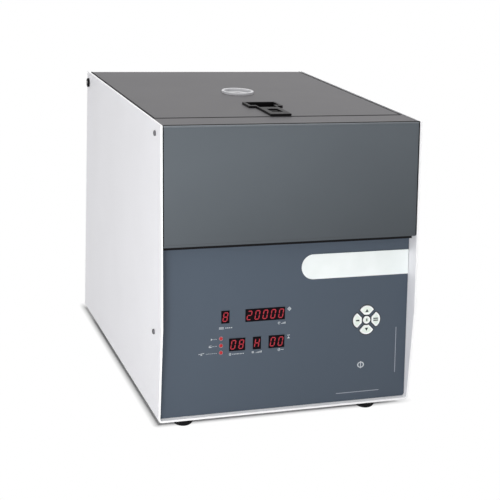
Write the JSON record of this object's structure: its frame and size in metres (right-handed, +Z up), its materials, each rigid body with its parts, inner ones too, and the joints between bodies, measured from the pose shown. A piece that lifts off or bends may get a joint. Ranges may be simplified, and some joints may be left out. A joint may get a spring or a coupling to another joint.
{
  "type": "butterfat centrifuge",
  "caption": "Bench centrifuge: pale folded side panels, dark sloping hood over a recessed control panel with displays and a round keypad, hinged lid with window and latch, angle rotor inside.",
  "frame": {"origin": "on the surface that the feet stand on, below the centre of the cabinet", "axes": "+Z up, the front with the controls faces -Y, +X to the right seen from the front"},
  "size_m": [0.4088, 0.52, 0.4588],
  "materials": {
    "side_white": "fine textured powder coat, cool white",
    "body_grey": "satin dark grey stoving enamel",
    "lid_grey": "satin mid grey stoving enamel",
    "panel_slate": "satin slate blue overlay on the control panel",
    "badge_white": "smooth white badge, bare",
    "key_white": "white keys with a faint mint tint",
    "display_window": "smoked red display window",
    "lamp_red": "red indicator lamp",
    "latch_black": "black moulded plastic",
    "cap_black": "black moulded caps",
    "rubber_black": "black rubber",
    "plated_steel": "zinc plated steel",
    "stainless": "spun stainless steel",
    "guard_steel": "rolled steel with grey primer",
    "cast_aluminium": "machined and cast aluminium",
    "brass_nickel": "brass",
    "liner_plastic": "vacuum formed pale grey plastic",
    "bezel_chrome": "polished ring",
    "clear_window": "thick clear acrylic",
    "nylon": "natural nylon",
    "board_green": "green circuit board",
    "machine_black": "black moulded electrical parts",
    "winding_copper": "laminations and copper winding"
  },
  "bodies": {
    "cabinet": {"cabinet_wrap": "side_white", "front_hood": "body_grey", "control_panel": "panel_slate", "rear_panel": "side_white", "base_plate": "plated_steel", "rubber_feet": "rubber_black", "foot_bolts": "plated_steel", "side_screws": "plated_steel", "rear_screws": "plated_steel", "mains_inlet": "machine_black", "switch_frame": "machine_black", "fan_frame": "machine_black", "fan_guard": "plated_steel", "chamber_deck": "stainless", "chamber_bowl": "stainless", "bowl_gasket": "rubber_black", "guard_ring": "guard_steel", "chamber_shelf": "plated_steel", "vibration_mounts": "rubber_black", "motor_plate": "plated_steel", "motor_housing": "cast_aluminium", "motor_end_cap": "cast_aluminium", "motor_bearings": "plated_steel", "motor_stator": "winding_copper", "shaft_boot": "rubber_black", "hinge_pins": "plated_steel", "hinge_caps": "cap_black", "hinge_washers": "nylon", "latch_keeper": "plated_steel", "lid_sensor": "machine_black", "status_lamps": "lamp_red", "badge_plate": "badge_white", "control_board": "board_green", "drive_unit": "cast_aluminium", "program_display": "display_window", "speed_display": "display_window", "rotor_display": "display_window", "brake_display": "display_window", "timer_display": "display_window"},
    "lid": {"lid_shell": "lid_grey", "lid_liner": "liner_plastic", "window_bezel": "bezel_chrome", "window_lens": "clear_window", "hinge_blocks": "plated_steel", "latch_housing": "latch_black", "latch_guide": "plated_steel"},
    "latch_bolt": {"latch_slide": "latch_black"},
    "rotor": {"motor_shaft": "plated_steel", "motor_armature": "plated_steel", "rotor_dish": "cast_aluminium", "tube_sleeves": "brass_nickel", "rotor_nut": "cast_aluminium"},
    "fan": {"fan_blades": "machine_black"},
    "mains_rocker": {"switch_rocker": "machine_black"},
    "up_button": {"up_key": "key_white"},
    "down_button": {"down_key": "key_white"},
    "left_button": {"left_key": "key_white"},
    "right_button": {"right_key": "key_white"},
    "centre_button": {"centre_key": "key_white"}
  },
  "joints": [
    {"name": "lid_hinge", "type": "hinge", "parent": "cabinet", "child": "lid", "pos_m": [0, 0.2475, 0.4385], "axis": [-1, 0, 0], "range_deg": [0, 85]},
    {"name": "latch_slide_travel", "type": "slide", "parent": "lid", "child": "latch_bolt", "axis": [0, -1, 0], "range_m": [0, 0.008]},
    {"name": "rotor_spin", "type": "hinge", "parent": "cabinet", "child": "rotor", "pos_m": [0, 0.03844, 0.3], "axis": [0, 0, 1], "continuous": true},
    {"name": "fan_spin", "type": "hinge", "parent": "cabinet", "child": "fan", "pos_m": [-0.095, 0.232, 0.14], "axis": [0, 1, 0], "continuous": true},
    {"name": "mains_rocker_tilt", "type": "hinge", "parent": "cabinet", "child": "mains_rocker", "pos_m": [0.11, 0.24233, 0.13], "axis": [-1, 0, 0], "range_deg": [0, 16]},
    {"name": "up_key_press", "type": "slide", "parent": "cabinet", "child": "up_button", "axis": [0, 0.9934, -0.1151], "range_m": [0, 0.0006], "stiffness_N_per_m": 600},
    {"name": "down_key_press", "type": "slide", "parent": "cabinet", "child": "down_button", "axis": [0, 0.9934, -0.1151], "range_m": [0, 0.0006], "stiffness_N_per_m": 600},
    {"name": "left_key_press", "type": "slide", "parent": "cabinet", "child": "left_button", "axis": [0, 0.9934, -0.1151], "range_m": [0, 0.0006], "stiffness_N_per_m": 600},
    {"name": "right_key_press", "type": "slide", "parent": "cabinet", "child": "right_button", "axis": [0, 0.9934, -0.1151], "range_m": [0, 0.0006], "stiffness_N_per_m": 600},
    {"name": "centre_key_press", "type": "slide", "parent": "cabinet", "child": "centre_button", "axis": [0, 0.9934, -0.1151], "range_m": [0, 0.0006], "stiffness_N_per_m": 600}
  ]
}
